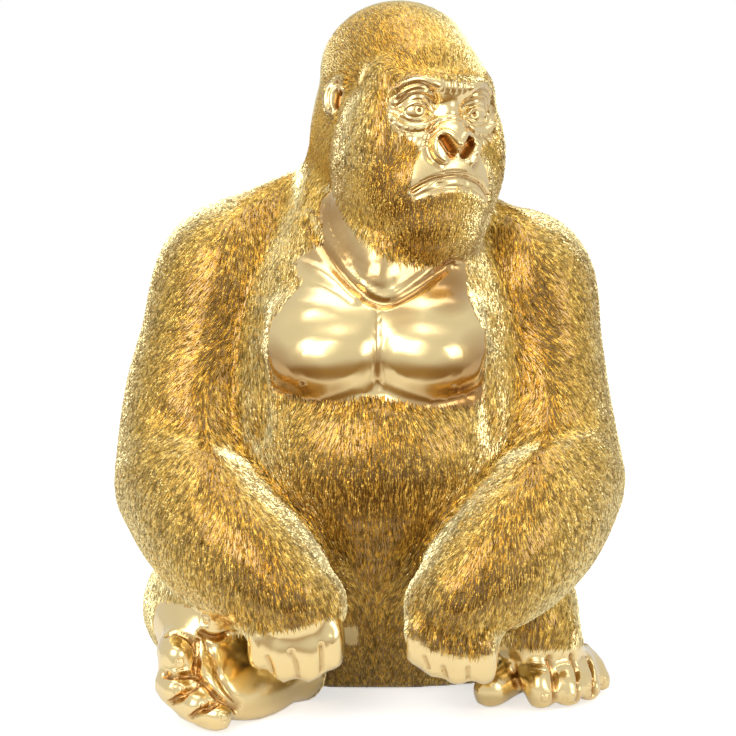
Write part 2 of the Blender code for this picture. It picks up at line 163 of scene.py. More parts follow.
world = bpy.data.worlds.new("surround")
bpy.context.scene.world = world
tree, add = shader_tree(world)
seen, mirrored_ray = seen_or_mirrored(tree, add)
ways = add("ShaderNodeSeparateXYZ")
tree.links.new(add("ShaderNodeTexCoord").outputs["Generated"], ways.inputs[0])
height = smooth_step(tree, add, ways.outputs["Z"], *SURROUND_RISE)
behind = smooth_step(tree, add, ways.outputs["Y"], *SURROUND_BEHIND)
lit = arithmetic(tree, add, "MAXIMUM", height, behind)
mirrored_light = blended(tree, add, lit, SURROUND_LOW, SURROUND_GLOSSY)
light = blended(tree, add, mirrored_ray, SURROUND_LIGHT, mirrored_light)
background = add("ShaderNodeBackground")
tree.links.new(blended(tree, add, seen, light, WHITE), background.inputs["Color"])
tree.links.new(background.outputs[0], add("ShaderNodeOutputWorld").inputs["Surface"])

for name, place, size, power in LAMPS:
    lamp_data = bpy.data.lights.new(name, "AREA")
    lamp_data.size = size
    lamp_data.energy = power
    lamp = bpy.data.objects.new(name, lamp_data)
    lamp.location = place
    lamp.rotation_euler = (LAMP_AIM - Vector(place)).to_track_quat("-Z", "Y").to_euler()
    bpy.context.collection.objects.link(lamp)

form = bmesh.new()
bmesh.ops.create_grid(form, x_segments=2, y_segments=2, size=SHEET_SIZE)
bmesh.ops.translate(form, verts=form.verts[:], vec=(0, SHEET_FRONT + SHEET_SIZE, 0))
floor_mesh = bpy.data.meshes.new("floor")
form.to_mesh(floor_mesh)
form.free()
floor = bpy.data.objects.new("floor", floor_mesh)
bpy.context.collection.objects.link(floor)
paper = bpy.data.materials.new("white_paper")
tree, add = shader_tree(paper)
seen, mirrored_ray = seen_or_mirrored(tree, add)
mirrored_glow = arithmetic(tree, add, "MULTIPLY", mirrored_ray, SHEET_MIRRORED)
shown = arithmetic(tree, add, "MAXIMUM", seen, mirrored_glow)
glow = arithmetic(tree, add, "MULTIPLY", shown, SHEET_GLOW)
emission = add("ShaderNodeEmission")
tree.links.new(glow, emission.inputs["Strength"])
matt = add("ShaderNodeBsdfDiffuse")
matt.inputs["Color"].default_value = (SHEET_WHITE, SHEET_WHITE, SHEET_WHITE, 1)
both = add("ShaderNodeAddShader")
tree.links.new(matt.outputs[0], both.inputs[0])
tree.links.new(emission.outputs[0], both.inputs[1])
tree.links.new(both.outputs[0], add("ShaderNodeOutputMaterial").inputs["Surface"])
floor_mesh.materials.append(paper)

# Skin of the casting: hollow resin poured in one mould, with the bare face, ears, throat, breast,
# hands and feet polished smooth. It is worked up from the solid's own form.
SKIN_VOXEL = 0.0034
SKIN_ROUNDS = 2
MERGE = 0.00001
SMOOTHING = 0.5
TINY = 1e-8

# Frame of the head: its middle, and how far it is turned to its left, rolled and lifted
HEAD_CENTRE = SPINE + Vector((0.019, 0.006, 0.326))
HEAD_TURN = math.radians(30)
HEAD_ROLL = math.radians(5)
HEAD_NOD = math.radians(-4)
turn = Euler((0, 0, HEAD_TURN)).to_matrix() @ Euler((HEAD_NOD, HEAD_ROLL, 0)).to_matrix()
head_frame = Matrix.Translation(HEAD_CENTRE) @ turn.to_4x4()
head_axes = np.array(turn)


def applied(obj):
    """The mesh that an object's modifiers give."""
    bpy.context.view_layer.update()
    graph = bpy.context.evaluated_depsgraph_get()
    result = bpy.data.meshes.new_from_object(obj.evaluated_get(graph))
    source = obj.data
    bpy.data.objects.remove(obj)
    bpy.data.meshes.remove(source)
    return result


def coordinates(mesh):
    """The places of a mesh's corners, one row each."""
    co = np.empty(len(mesh.vertices) * 3)
    mesh.vertices.foreach_get("co", co)
    return co.reshape(-1, 3)


def normals(mesh):
    """The ways that a mesh's corners face, one row each."""
    way = np.empty(len(mesh.vertices) * 3)
    mesh.vertices.foreach_get("normal", way)
    return way.reshape(-1, 3)


def remeshed(mesh, voxel, rounds):
    """The same form in an even skin of small squares, smoothed."""
    obj = bpy.data.objects.new("masses", mesh.copy())
    bpy.context.collection.objects.link(obj)
    remesh = obj.modifiers.new("even", "REMESH")
    remesh.mode = "VOXEL"
    remesh.voxel_size = voxel
    smooth = obj.modifiers.new("smooth", "SMOOTH")
    smooth.factor = SMOOTHING
    smooth.iterations = rounds
    return applied(obj)


def evened(form, verts, rounds):
    """Smooths the given corners of a form."""
    for _ in range(rounds):
        bmesh.ops.smooth_vert(
            form, verts=verts, factor=SMOOTHING, use_axis_x=True, use_axis_y=True, use_axis_z=True
        )


def smooth_path(points, steps=4):
    """Points along a Catmull-Rom curve through the given ones."""
    spots = [points[0], *points, points[-1]]
    path = []
    for before, start, end, after in zip(spots, spots[1:], spots[2:], spots[3:]):
        for t in np.arange(steps) / steps:
            path.append(
                0.5 * (2 * start + (end - before) * t + (2 * before - 5 * start + 4 * end - after) * t**2
                       + (3 * start - before - 3 * end + after) * t**3)
            )
    path.append(points[-1])
    return path


def nearness(spots, path):
    """How far each spot is from a path."""
    nearest = np.full(len(spots), np.inf)
    for start, end in zip(path, path[1:]):
        span = end - start
        t = np.clip((spots - start) @ span / max(span @ span, TINY**2), 0, 1)
        nearest = np.minimum(nearest, np.linalg.norm(spots - start - t[:, None] * span, axis=1))
    return nearest


class Sculpt:
    """A skin that is raised and pressed along paths, and remembers how deep its creases are, for the painted
    shade in them.
    """

    IN_FRONT = 0.25

    def __init__(self, mesh):
        self.mesh = mesh
        self.crease_shade = np.zeros(len(mesh.vertices))
        self.settle()
        self.place(Matrix.Translation(SPINE))

    def place(self, frame):
        """Takes the paths from here on in this frame, whose front is -Y."""
        self.axes = np.array(frame.to_3x3())
        self.origin = np.array(frame.translation)

    def settle(self):
        """Gives the mesh its new corners and reads the skin's facing and its surface again."""
        if hasattr(self, "co"):
            self.mesh.vertices.foreach_set("co", self.co.ravel())
            self.mesh.update()
        self.co = coordinates(self.mesh)
        self.way = normals(self.mesh)
        faces = [p.vertices[:] for p in self.mesh.polygons]
        self.tree = BVHTree.FromPolygons([tuple(c) for c in self.co], faces)

    def spot(self, point):
        """A point of a path; two numbers are x and z on the skin as seen from the front."""
        if len(point) == 3:
            return self.origin + self.axes @ np.array(point, float)
        start = self.origin + self.axes @ np.array((point[0], -self.IN_FRONT, point[1]))
        hit = self.tree.ray_cast(Vector(start), Vector(self.axes @ np.array((0, 1, 0))))
        if hit[0] is None:
            raise ValueError(f"nothing in front at {point}")
        return np.array(hit[0])

    def stroke(self, points, radius, lift, way=None):
        """Raises the skin along a path, or presses it in, fading out at the radius."""
        path = [self.spot(p) for p in points]
        if len(path) == 1:
            path = path * 2
        elif len(path) > 2:
            path = smooth_path(path)
        lowest = np.min(path, axis=0) - radius
        highest = np.max(path, axis=0) + radius
        near = np.flatnonzero(((self.co > lowest) & (self.co < highest)).all(1))
        fade = np.clip(1 - (nearness(self.co[near], path) / radius) ** 2, 0, 1) ** 2
        push = self.way[near] if way is None else self.axes @ np.array(way, float)
        self.co[near] += push * (lift * fade)[:, None]
        # Pressed places are remembered, and their creases get painted shade by their depth
        if lift < 0:
            self.crease_shade[near] += -lift * fade

    def relax(self, chosen, rounds):
        """Evens out the chosen part of the skin."""
        form = bmesh.new()
        form.from_mesh(self.mesh)
        form.verts.ensure_lookup_table()
        spots = [form.verts[int(i)] for i in np.flatnonzero(chosen)]
        evened(form, spots, rounds)
        form.to_mesh(self.mesh)
        form.free()
        self.co = coordinates(self.mesh)
        self.settle()

    def both(self, points, radius, lift, way=None):
        """Makes the same stroke on both sides of the frame."""
        for side in (-1, 1):
            self.stroke([(side * p[0], *p[1:]) for p in points], radius, lift, way)


def refined(mesh, chosen, rounds=2):
    """Cuts the faces chosen by their centres into four and smooths their corners."""
    form = bmesh.new()
    form.from_mesh(mesh)
    centres = np.array([f.calc_center_median()[:] for f in form.faces])
    wanted = chosen(centres)
    form.faces.ensure_lookup_table()
    faces = [form.faces[int(i)] for i in np.flatnonzero(wanted)]
    edges = list({edge for face in faces for edge in face.edges})
    made = bmesh.ops.subdivide_edges(form, edges=edges, cuts=1, use_grid_fill=True)
    inner = {v for v in made["geom_inner"] if isinstance(v, bmesh.types.BMVert)}
    inner |= {v for face in faces if face.is_valid for v in face.verts}
    evened(form, list(inner), rounds)
    form.to_mesh(mesh)
    form.free()
    mesh.update()


body = frame["nodes"]["gorilla"].data.copy()
form = bmesh.new()
form.from_mesh(body)
bmesh.ops.remove_doubles(form, verts=form.verts[:], dist=MERGE)
form.to_mesh(body)
form.free()
body = remeshed(body, SKIN_VOXEL, SKIN_ROUNDS)
co = coordinates(body)
co[:, 2] = np.maximum(co[:, 2], 0)
body.vertices.foreach_set("co", co.ravel())
body.update()

# Masses of the head in its own frame: middle and half size, with the hair that stands on them
HEAD_MASSES = (
    ((0.0, 0.014, -0.010), (0.0480, 0.0615, 0.0535)),
    ((0.0, 0.015, 0.026), (0.0470, 0.0600, 0.0580)),
    ((0.0, -0.009, -0.033), (0.0485, 0.0485, 0.0445)),
    ((0.0, -0.026, -0.052), (0.0355, 0.0305, 0.0295)),
    ((-0.0275, 0.002, -0.049), (0.0195, 0.0325, 0.0230)),
    ((0.0275, 0.002, -0.049), (0.0195, 0.0325, 0.0230)),
)

# Bare places, as outlines seen from the front (x, z) with the depth (y) in front of which they lie
FACE_OUTLINE = (
    (0.0, 0.0265), (0.0123, 0.0270), (0.0190, 0.0275), (0.0241, 0.0272), (0.0295, 0.0240), (0.0325, 0.0180),
    (0.0355, 0.0100), (0.0365, 0.0045), (0.0350, -0.0005), (0.0315, -0.0045), (0.0250, -0.0075),
    (0.0205, -0.0115), (0.0200, -0.0150), (0.0232, -0.0200), (0.0255, -0.0280), (0.0268, -0.0370),
    (0.0238, -0.0412), (0.0175, -0.0385), (0.0090, -0.0360), (0.0, -0.0345),
)
FACE_DEPTH = -0.018
CHEST_OUTLINE = (
    (-0.0300, 0.2950), (-0.0325, 0.2775), (-0.0290, 0.2650), (-0.0385, 0.2605), (-0.0447, 0.2565),
    (-0.0458, 0.2480), (-0.0415, 0.2430), (-0.0500, 0.2340), (-0.0575, 0.2250), (-0.0605, 0.2160),
    (-0.0600, 0.2000), (-0.0598, 0.1885), (-0.0580, 0.1835), (-0.0483, 0.1800), (-0.0330, 0.1783),
    (-0.0200, 0.1803), (-0.0074, 0.1823), (0.0020, 0.1822), (0.0132, 0.1792), (0.0243, 0.1764),
    (0.0395, 0.1752), (0.0525, 0.1756), (0.0595, 0.1778), (0.0607, 0.1903), (0.0618, 0.2000),
    (0.0622, 0.2107), (0.0605, 0.2177), (0.0564, 0.2250), (0.0526, 0.2340), (0.0513, 0.2455),
    (0.0510, 0.2560), (0.0420, 0.2580), (0.0340, 0.2520), (0.0200, 0.2530), (0.0110, 0.2550),
    (0.0010, 0.2600), (-0.0085, 0.2680), (-0.0165, 0.2770), (-0.0225, 0.2880), (-0.0265, 0.2990),
)
CHEST_DEPTH = -0.008
EAR_MIDDLE = (0.0455, 0.0085, 0.0165)
EAR_HALF = (0.0062, 0.0075, 0.0110)
RIGHT_HAND_TOP = (
    (-0.0780, 0.0500), (-0.0680, 0.0560), (-0.0611, 0.0575), (-0.0473, 0.0595), (-0.0363, 0.0626),
    (-0.0276, 0.0650), (-0.0200, 0.0650), (-0.0050, 0.0660),
)
LEFT_HAND_TOP = (
    (0.0050, 0.0560), (0.0163, 0.0540), (0.0239, 0.0531), (0.0294, 0.0480), (0.0360, 0.0464),
    (0.0459, 0.0440), (0.0547, 0.0425), (0.0623, 0.0456), (0.0700, 0.0520), (0.0780, 0.0640),
)
HAND_DEPTH = -0.074
# Bare right foot: between these x, in front of this y, below these z at the toes and at the sole, with
# fur at the ankle. Bare left foot: outside this x, below this z, in front of a slanting edge.
RIGHT_FOOT_SIDES = (-0.130, -0.010)
RIGHT_FOOT_DEPTH = -0.036
RIGHT_TOES_TOP = 0.066
RIGHT_SOLE_TOP = 0.047
RIGHT_TOES_INNER = -0.078
RIGHT_ANKLE = (-0.105, -0.052)
LEFT_FOOT_INNER = 0.055
LEFT_FOOT_TOP = 0.034
LEFT_FOOT_EDGE = (0.10, -0.0145)
LEFT_FOOT_SLANT = 0.7


def inside(x, z, outline):
    """Whether each spot lies inside a closed outline."""
    within = np.zeros(len(x), bool)
    for (x0, z0), (x1, z1) in zip(outline, outline[1:] + outline[:1]):
        crosses = (z0 > z) != (z1 > z)
        with np.errstate(divide="ignore", invalid="ignore"):
            at = x0 + (z - z0) * (x1 - x0) / (z1 - z0)
        within ^= crosses & (x < at)
    return within


def head_local(spots):
    """Places in the head's own frame, whose face looks along -Y."""
    return (spots - np.array(HEAD_CENTRE)) @ head_axes


def beyond_head(spots):
    """One on the outside of the hair of the head, less inside it."""
    local = head_local(spots)
    scaled = [(local - np.array(middle)) / np.array(half) for middle, half in HEAD_MASSES]
    return np.min([np.linalg.norm(place, axis=1) for place in scaled], axis=0)


def on_face(spots):
    """Whether each spot is on the bare face."""
    local = head_local(spots)
    outline = FACE_OUTLINE + tuple((-x, z) for x, z in FACE_OUTLINE[-2:0:-1])
    return inside(local[:, 0], local[:, 2], outline) & (local[:, 1] < FACE_DEPTH)


def on_ear(spots):
    """Whether each spot is on one of the bare ears."""
    local = head_local(spots)
    local[:, 0] = np.abs(local[:, 0])
    return np.linalg.norm((local - np.array(EAR_MIDDLE)) / np.array(EAR_HALF), axis=1) < 1


def on_chest(spots):
    """Whether each spot is on the bare throat or breast."""
    x, y, z = (spots - np.array(SPINE)).T
    return inside(x, z, CHEST_OUTLINE) & (y < CHEST_DEPTH)


def on_hand_or_foot(spots):
    """Whether each spot is on the bare part of a hand or foot."""
    x, y, z = (spots - np.array(SPINE)).T
    bare_here = np.zeros(len(x), bool)
    for top in (RIGHT_HAND_TOP, LEFT_HAND_TOP):
        edge = np.array(top)
        level = np.interp(x, edge[:, 0], edge[:, 1])
        bare_here |= (z < level) & (x > edge[0, 0]) & (x < edge[-1, 0]) & (y < HAND_DEPTH)
    right_foot = (x > RIGHT_FOOT_SIDES[0]) & (x < RIGHT_FOOT_SIDES[1]) & (y < RIGHT_FOOT_DEPTH)
    right_foot &= (z < RIGHT_TOES_TOP) & ((x < RIGHT_TOES_INNER) | (z < RIGHT_SOLE_TOP))
    right_foot &= ~((x < RIGHT_ANKLE[0]) & (y > RIGHT_ANKLE[1]))
    left_edge = LEFT_FOOT_EDGE[1] + (x - LEFT_FOOT_EDGE[0]) * LEFT_FOOT_SLANT
    left_foot = (x > LEFT_FOOT_INNER) & (z < LEFT_FOOT_TOP) & (y < left_edge)
    return bare_here | right_foot | left_foot


def bare(spots):
    """Whether each spot of the skin is polished smooth."""
    return on_face(spots) | on_ear(spots) | on_chest(spots) | on_hand_or_foot(spots)


def near_any(spots, centres, reach):
    """Whether each spot is within reach of one of the centres."""
    spots = spots - np.array(SPINE)
    return np.min([np.linalg.norm(spots - np.array(c), axis=1) for c in centres], axis=0) < reach


# Middle and radius of the eyeball, and the ball of skin round the eye that is worked finely
EYE = (0.0188, -0.0345, 0.0088)
EYE_RADIUS = 0.0086
EYE_FRONT = -0.0400
EYE_REACH = 0.0125


def round_the_eyes(spots):
    """Whether each spot is near one of the eyes."""
    local = head_local(spots)
    local[:, 0] = np.abs(local[:, 0])
    return np.linalg.norm(local - np.array((EYE[0], EYE_FRONT, EYE[2])), axis=1) < EYE_REACH


NAILS = (
    (-0.1080, -0.0955, 0.0370), (-0.1090, -0.1035, 0.0250), (-0.0935, -0.1080, 0.0170),
    (-0.0830, -0.1095, 0.0110), (-0.0945, -0.0800, 0.0590), (0.0961, -0.0640, 0.0090),
    (0.1113, -0.0575, 0.0065), (0.1225, -0.0450, 0.0065), (0.1310, -0.0250, 0.0080),
)
NAIL_REACH = 0.0052

FINGERS_AND_TOES = (
    (-0.0590, -0.1040, 0.0400), (-0.0440, -0.1040, 0.0400), (-0.0290, -0.1030, 0.0420),
    (0.0220, -0.1020, 0.0420), (0.0360, -0.1020, 0.0370), (0.0520, -0.1020, 0.0370),
    (-0.1060, -0.0920, 0.0400), (-0.1080, -0.0990, 0.0250), (-0.0960, -0.1050, 0.0170),
    (-0.0860, -0.1060, 0.0110), (-0.0920, -0.0760, 0.0560), (0.0920, -0.0560, 0.0160),
    (0.1070, -0.0480, 0.0160), (0.1190, -0.0360, 0.0150), (0.1290, -0.0180, 0.0130),
    (0.0640, -0.0560, 0.0110),
)
FINE_REACH = 0.0125


def worked_finely(spots):
    """Whether each spot is on the face, an ear, a finger or a toe."""
    return on_face(spots) | on_ear(spots) | (bare(spots) & near_any(spots, FINGERS_AND_TOES, FINE_REACH))


def worked_finest(spots):
    """Whether each spot is at an eye or a nail."""
    return round_the_eyes(spots) | near_any(spots, NAILS, NAIL_REACH)


refined(body, bare)
refined(body, worked_finely, 1)
refined(body, worked_finest, 1)

# Face. The eyeballs sit in lids under a heavy brow; the nose is a broad heart with rolled rims, and
# the long mouth turns down at its corners.
EYE_OPENING = (
    (0.0118, 0.0075), (0.0150, 0.0102), (0.0190, 0.0120), (0.0230, 0.0117), (0.0258, 0.0090),
    (0.0264, 0.0070), (0.0240, 0.0050), (0.0200, 0.0044), (0.0155, 0.0055),
)
UPPER_LID = (
    (0.0112, 0.0076), (0.0146, 0.0110), (0.0190, 0.0129), (0.0234, 0.0126), (0.0268, 0.0093),
    (0.0276, 0.0064),
)
LOWER_LID = ((0.0112, 0.0072), (0.0155, 0.0048), (0.0200, 0.0037), (0.0244, 0.0044), (0.0276, 0.0064))
LID_FOLD = ((0.0090, 0.0115), (0.0130, 0.0158), (0.0185, 0.0175), (0.0245, 0.0168), (0.0295, 0.0110))
BAG = ((0.0085, 0.0050), (0.0150, 0.0012), (0.0220, -0.0004), (0.0290, 0.0010), (0.0335, 0.0050))
BAG_FOLD = ((0.0100, 0.0020), (0.0155, -0.0018), (0.0225, -0.0036), (0.0300, -0.0020), (0.0350, 0.0020))
BROW_FOLD = ((0.0136, 0.0200), (0.0178, 0.0226), (0.0225, 0.0240), (0.0280, 0.0220), (0.0325, 0.0170))
BROW_RIDGE = ((0.0110, 0.0235), (0.0165, 0.0262), (0.0230, 0.0272), (0.0285, 0.0250), (0.0325, 0.0195))
UNDER_BROW_FOLD = ((0.0085, 0.0135), (0.0120, 0.0180), (0.0185, 0.0205), (0.0255, 0.0195), (0.0305, 0.0145))
BROW_WRINKLES = (
    ((-0.0064, 0.0252), (-0.0060, 0.0205)), ((-0.0024, 0.0260), (-0.0022, 0.0198)),
    ((0.0020, 0.0258), (0.0017, 0.0202)), ((0.0058, 0.0250), (0.0054, 0.0208)),
)
NOSE_WRINKLES = (
    ((-0.0085, 0.0062), (-0.0030, 0.0078), (0.0030, 0.0078), (0.0085, 0.0062)),
    ((-0.0095, 0.0030), (-0.0035, 0.0050), (0.0035, 0.0050), (0.0095, 0.0030)),
)
CHEEK_WRINKLES = (
    ((0.0100, -0.0015), (0.0150, -0.0052), (0.0195, -0.0068)),
    ((0.0215, -0.0022), (0.0230, -0.0058), (0.0235, -0.0082)),
    ((0.0250, -0.0018), (0.0272, -0.0050), (0.0280, -0.0072)),
    ((0.0290, -0.0008), (0.0318, -0.0032), (0.0330, -0.0050)),
    ((0.0300, 0.0095), (0.0335, 0.0110), (0.0360, 0.0125)),
    ((0.0305, 0.0065), (0.0340, 0.0066), (0.0368, 0.0070)),
    ((0.0300, 0.0040), (0.0332, 0.0025), (0.0358, 0.0012)),
    ((0.0150, -0.0080), (0.0182, -0.0100), (0.0200, -0.0130)),
)
IRISES = ((-0.0196, 0.0092), (0.0168, 0.0090))
IRIS_RADIUS = 0.0030
PUPIL_RADIUS = 0.0014
IRIS_DEPTH = 0.0004
PUPIL_DEPTH = 0.0005
NOSE_RIM = (
    (0.0, -0.0088), (0.0030, -0.0050), (0.0060, -0.0022), (0.0100, -0.0026), (0.0132, -0.0062),
    (0.0142, -0.0110), (0.0126, -0.0160), (0.0090, -0.0185),
)
NOSTRIL = ((0.0088, -0.0072), (0.0062, -0.0108), (0.0040, -0.0135))
WING_FOLD = ((0.0120, 0.0010), (0.0158, -0.0050), (0.0172, -0.0110), (0.0158, -0.0175), (0.0115, -0.0212))
UPPER_LIP_EDGE = (
    (-0.0211, -0.0311), (-0.0133, -0.0264), (0.0, -0.0240), (0.0133, -0.0264), (0.0211, -0.0311),
)
LIP_LINE = (
    (-0.0248, -0.0362), (-0.0195, -0.0322), (-0.0130, -0.0290), (0.0, -0.0266), (0.0130, -0.0290),
    (0.0195, -0.0322), (0.0248, -0.0362),
)
LOWER_LIP_EDGE = (
    (-0.0235, -0.0396), (-0.0172, -0.0362), (-0.0091, -0.0339), (0.0, -0.0328), (0.0091, -0.0339),
    (0.0172, -0.0362), (0.0235, -0.0396),
)
EYE_BACK = -0.025
LID_ROUNDS = 4
WRINKLE_REACH = 0.0013
WRINKLE_DEPTH = 0.0006
CHEEK_REACH = 0.0015
CHEEK_DEPTH = 0.0005
FORWARD = (0, -1, 0)
# Each form's path, reach and rise, and the way it is pushed where that isn't straight off the skin
EYE_FORMS = (
    (UPPER_LID, 0.0019, 0.0017, FORWARD), (LOWER_LID, 0.0016, 0.0012, FORWARD),
    (LID_FOLD, 0.0020, -0.0013, None), (BAG, 0.0030, 0.0009, None), (BAG_FOLD, 0.0018, -0.0009, None),
    (BROW_RIDGE, 0.0034, 0.0012, None), (BROW_FOLD, 0.0022, -0.0016, None),
    (UNDER_BROW_FOLD, 0.0026, -0.0012, None),
)
NOSE_FORMS = (
    (NOSTRIL, 0.0046, -0.0065, FORWARD), (NOSE_RIM, 0.0026, 0.0010, None),
    (WING_FOLD, 0.0030, -0.0014, None),
)
MOUTH_FORMS = (
    (UPPER_LIP_EDGE, 0.0014, -0.0004), (LIP_LINE, 0.0020, -0.0018), (LOWER_LIP_EDGE, 0.0018, -0.0006),
)

work = Sculpt(body)
work.place(head_frame)
local = head_local(work.co)
mirrored_x = np.abs(local[:, 0])
opened = inside(mirrored_x, local[:, 2], EYE_OPENING) & (local[:, 1] < EYE_BACK)
off = np.stack([mirrored_x - EYE[0], local[:, 2] - EYE[2]], 1)[opened]
local[opened, 1] = EYE[1] - np.sqrt(np.maximum(EYE_RADIUS**2 - (off**2).sum(1), TINY))
work.co = np.array(HEAD_CENTRE) + local @ head_axes.T
work.settle()
work.relax(round_the_eyes(work.co) & ~opened, LID_ROUNDS)
for path, reach, rise, way in EYE_FORMS:
    work.both(path, reach, rise, way)
for wrinkle in BROW_WRINKLES + NOSE_WRINKLES:
    work.stroke(wrinkle, WRINKLE_REACH, -WRINKLE_DEPTH)
for wrinkle in CHEEK_WRINKLES:
    work.both(wrinkle, CHEEK_REACH, -CHEEK_DEPTH)
for iris in IRISES:
    work.stroke([iris], IRIS_RADIUS, -IRIS_DEPTH)
    work.stroke([iris], PUPIL_RADIUS, -PUPIL_DEPTH)
work.settle()
for path, reach, rise, way in NOSE_FORMS:
    work.both(path, reach, rise, way)
for path, reach, rise in MOUTH_FORMS:
    work.stroke(path, reach, rise)
work.settle()

# Throat and breast. The smooth neck overlaps the breast in a crisp edge that meets at the breastbone.
COLLAR_EDGE = (
    (-0.0377, -0.0127, 0.2789), (-0.0329, -0.0247, 0.2703), (-0.0260, -0.0366, 0.2601),
    (-0.0175, -0.0456, 0.2497), (-0.0091, -0.0506, 0.2413), (-0.0007, -0.0531, 0.2360),
    (0.0066, -0.0538, 0.2349), (0.0144, -0.0516, 0.2380), (0.0245, -0.0466, 0.2442),
    (0.0348, -0.0390, 0.2513), (0.0426, -0.0380, 0.2568),
)
THROAT_FOLDS = (
    ((-0.0262, 0.2880), (-0.0262, 0.2760), (-0.0215, 0.2670), (-0.0120, 0.2580), (0.0000, 0.2520)),
    ((-0.0285, 0.2860), (-0.0290, 0.2730), (-0.0235, 0.2640), (-0.0130, 0.2545), (0.0000, 0.2470)),
    ((-0.0305, 0.2800), (-0.0305, 0.2700), (-0.0240, 0.2605), (-0.0120, 0.2500), (0.0000, 0.2425)),
)
BREASTBONE = ((0.0012, 0.2310), (0.0004, 0.2190), (0.0004, 0.2030), (0.0010, 0.1880))
COLLAR_BONE = ((-0.0440, 0.2530), (-0.0340, 0.2500), (-0.0230, 0.2440), (-0.0120, 0.2360))
NIPPLES = ((-0.0412, 0.1890), (0.0432, 0.1876))
COLLAR_LIFT = 0.0012
COLLAR_DROP = 0.0022
COLLAR_BACK = 0.0005
below_collar = [(x, y - COLLAR_BACK, z - COLLAR_DROP) for x, y, z in COLLAR_EDGE]
above_collar = [(x, y, z + COLLAR_LIFT) for x, y, z in COLLAR_EDGE]
BREAST_FORMS = (
    (below_collar, 0.0052, -0.0022), (above_collar, 0.0038, 0.0014), (COLLAR_BONE, 0.0060, 0.0016),
    (BREASTBONE, 0.0028, -0.0010), *((fold, 0.0016, -0.0006) for fold in THROAT_FOLDS),
)
# A shallow ring round each nipple, then the nipple itself
NIPPLE_FORMS = ((0.0046, -0.0005), (0.0024, 0.0022))

work.place(Matrix.Translation(SPINE))
for path, reach, rise in BREAST_FORMS:
    work.stroke(path, reach, rise)
for nipple in NIPPLES:
    for reach, rise in NIPPLE_FORMS:
        work.stroke([nipple], reach, rise)

# Hands. Four bent fingers stand on the ground at each side, parted by furrows from knuckle to tip.
FINGER_FURROWS = (
    ((-0.0601, 0.0431), (-0.0580, 0.0369), (-0.0575, 0.0335)),
    ((-0.0468, 0.0468), (-0.0442, 0.0395), (-0.0432, 0.0301)),
    ((-0.0304, 0.0502), (-0.0299, 0.0425), (-0.0300, 0.0351)),
    ((0.0262, 0.0429), (0.0284, 0.0367)),
    ((0.0367, 0.0374), (0.0384, 0.0305)),
    ((0.0504, 0.0370), (0.0506, 0.0300)),
)
FINGER_FURROW = (0.0021, -0.0013)

for furrow in FINGER_FURROWS:
    work.stroke(furrow, *FINGER_FURROW)
work.settle()

# Feet. The toes are plump and parted by deep furrows, with square nails pressed into them and a few
# creases over each joint. The sole of the right foot is turned up, with its toes curled over.
TOE_PADS = (
    (-0.0910, 0.0571), (-0.1113, 0.0426), (-0.1120, 0.0255), (-0.1001, 0.0191), (-0.0891, 0.0110),
    (0.0917, 0.0190), (0.1080, 0.0174), (0.1204, 0.0163),
)
TOE_FURROWS = (
    ((-0.1170, 0.0313), (-0.1117, 0.0311), (-0.1059, 0.0308), (-0.1013, 0.0310)),
    ((-0.1135, 0.0165), (-0.1081, 0.0207), (-0.1028, 0.0238), (-0.0991, 0.0268)),
    ((-0.1020, 0.0098), (-0.0979, 0.0133), (-0.0925, 0.0160), (-0.0878, 0.0179)),
    ((-0.1165, 0.0504), (-0.1122, 0.0517), (-0.1066, 0.0501), (-0.1021, 0.0469), (-0.0999, 0.0419)),
    ((-0.0999, 0.0469), (-0.0994, 0.0389), (-0.1001, 0.0310), (-0.0945, 0.0273), (-0.0878, 0.0210),
     (-0.0824, 0.0172), (-0.0771, 0.0110)),
    ((-0.0977, 0.0512), (-0.0938, 0.0490), (-0.0883, 0.0480), (-0.0830, 0.0492)),
    ((0.0784, 0.0218), (0.0810, 0.0130), (0.0850, 0.0070)),
    ((0.0984, 0.0290), (0.1007, 0.0215), (0.1015, 0.0128), (0.1015, 0.0070)),
    ((0.1120, 0.0286), (0.1148, 0.0212), (0.1154, 0.0138), (0.1155, 0.0060)),
    ((0.1230, 0.0240), (0.1248, 0.0187), (0.1254, 0.0124), (0.1254, 0.0060)),
)
TOE_CREASES = (
    ((0.0865, 0.0262), (0.0915, 0.0272), (0.0965, 0.0262)),
    ((0.0868, 0.0232), (0.0915, 0.0240), (0.0962, 0.0232)),
    ((0.1030, 0.0275), (0.1070, 0.0285), (0.1110, 0.0275)),
    ((0.1032, 0.0245), (0.1070, 0.0255), (0.1108, 0.0245)),
    ((0.1165, 0.0250), (0.1200, 0.0260), (0.1235, 0.0245)),
)
SOLE_EDGE = ((-0.0955, 0.0474), (-0.0915, 0.0393), (-0.0875, 0.0312), (-0.0819, 0.0223), (-0.0760, 0.0141))
# Reach and rise of each kind of form
TOE_PAD = (0.0095, 0.0018)
TOE_FURROW = (0.0030, -0.0030)
SOLE_FOLD = (0.0032, -0.0016)
TOE_CREASE = (0.0013, -0.0006)
NAIL_GROOVE = (0.0011, -0.0007)
NAIL_HALF = 0.0026
NAIL_OUTLINE = (
    (-0.9, 0.9), (-1, 0), (-0.8, -0.9), (0, -1), (0.8, -0.9), (1, 0), (0.9, 0.9), (0, 1), (-0.9, 0.9),
)


def nail(centre):
    """Presses the outline of a square nail round a spot on the skin."""
    spot, way, *_ = work.tree.find_nearest(SPINE + Vector(centre))
    aside = way.cross(Vector((0, 0, 1))).normalized()
    up = aside.cross(way)
    corners = [
        np.array(spot + aside * (x * NAIL_HALF) + up * (z * NAIL_HALF)) - work.origin for x, z in NAIL_OUTLINE
    ]
    work.stroke(corners, *NAIL_GROOVE)


